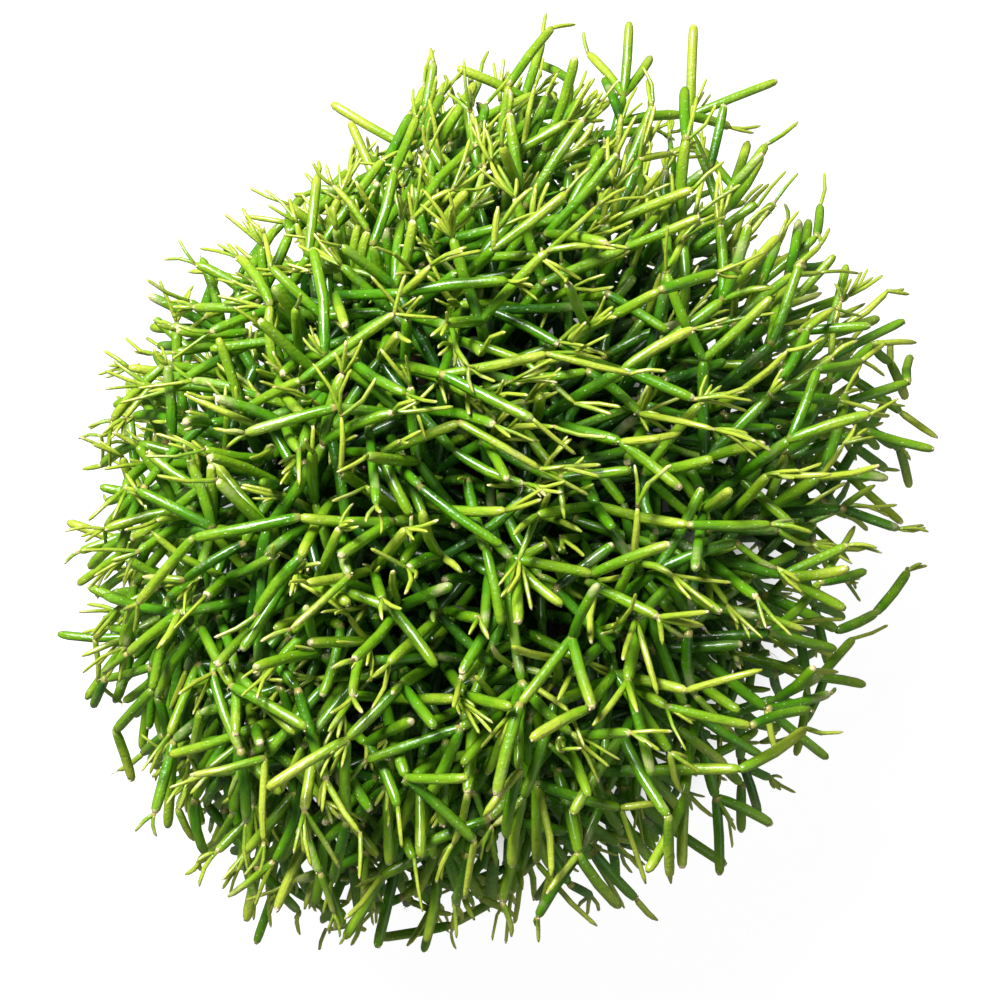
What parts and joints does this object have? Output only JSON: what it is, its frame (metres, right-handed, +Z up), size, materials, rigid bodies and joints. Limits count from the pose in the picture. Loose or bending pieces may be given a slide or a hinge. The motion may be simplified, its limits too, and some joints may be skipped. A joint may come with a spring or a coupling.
{
  "type": "potted mistletoe cactus",
  "caption": "Potted mistletoe cactus: a dense round mop of thin, smooth, forking green stems with pale tips and young shoots, spilling over the rim of a plain round nursery pot.",
  "frame": {"origin": "centre of the pot's flat base, on the surface that the pot stands on", "axes": "+Z up along the pot's axis; seen from above, +Y is the far side of the plant and +X its right side"},
  "size_m": [0.2863, 0.306, 0.2171],
  "materials": {
    "pot_plastic": "moulded black polypropylene with a fine matte grain",
    "potting_soil": "loose, moist, dark brown peat",
    "stem_flesh": "smooth waxy green skin, yellower towards the tips"
  },
  "bodies": {
    "root": {"pot": "pot_plastic", "potting_soil": "potting_soil", "stem_01": "stem_flesh", "stem_02": "stem_flesh", "stem_03": "stem_flesh", "stem_04": "stem_flesh", "stem_05": "stem_flesh", "stem_06": "stem_flesh", "stem_07": "stem_flesh", "stem_08": "stem_flesh", "stem_09": "stem_flesh", "stem_10": "stem_flesh", "stem_11": "stem_flesh", "stem_12": "stem_flesh", "stem_13": "stem_flesh", "stem_14": "stem_flesh", "stem_15": "stem_flesh", "stem_16": "stem_flesh", "stem_17": "stem_flesh", "stem_18": "stem_flesh", "stem_19": "stem_flesh", "stem_20": "stem_flesh", "stem_21": "stem_flesh", "stem_22": "stem_flesh", "stem_23": "stem_flesh", "stem_24": "stem_flesh", "stem_25": "stem_flesh", "stem_26": "stem_flesh", "stem_27": "stem_flesh", "stem_28": "stem_flesh", "stem_29": "stem_flesh", "stem_30": "stem_flesh", "stem_31": "stem_flesh", "stem_32": "stem_flesh", "stem_33": "stem_flesh", "stem_34": "stem_flesh", "stem_35": "stem_flesh", "stem_36": "stem_flesh", "stem_37": "stem_flesh", "stem_38": "stem_flesh", "stem_39": "stem_flesh", "stem_40": "stem_flesh"}
  },
  "joints": []
}
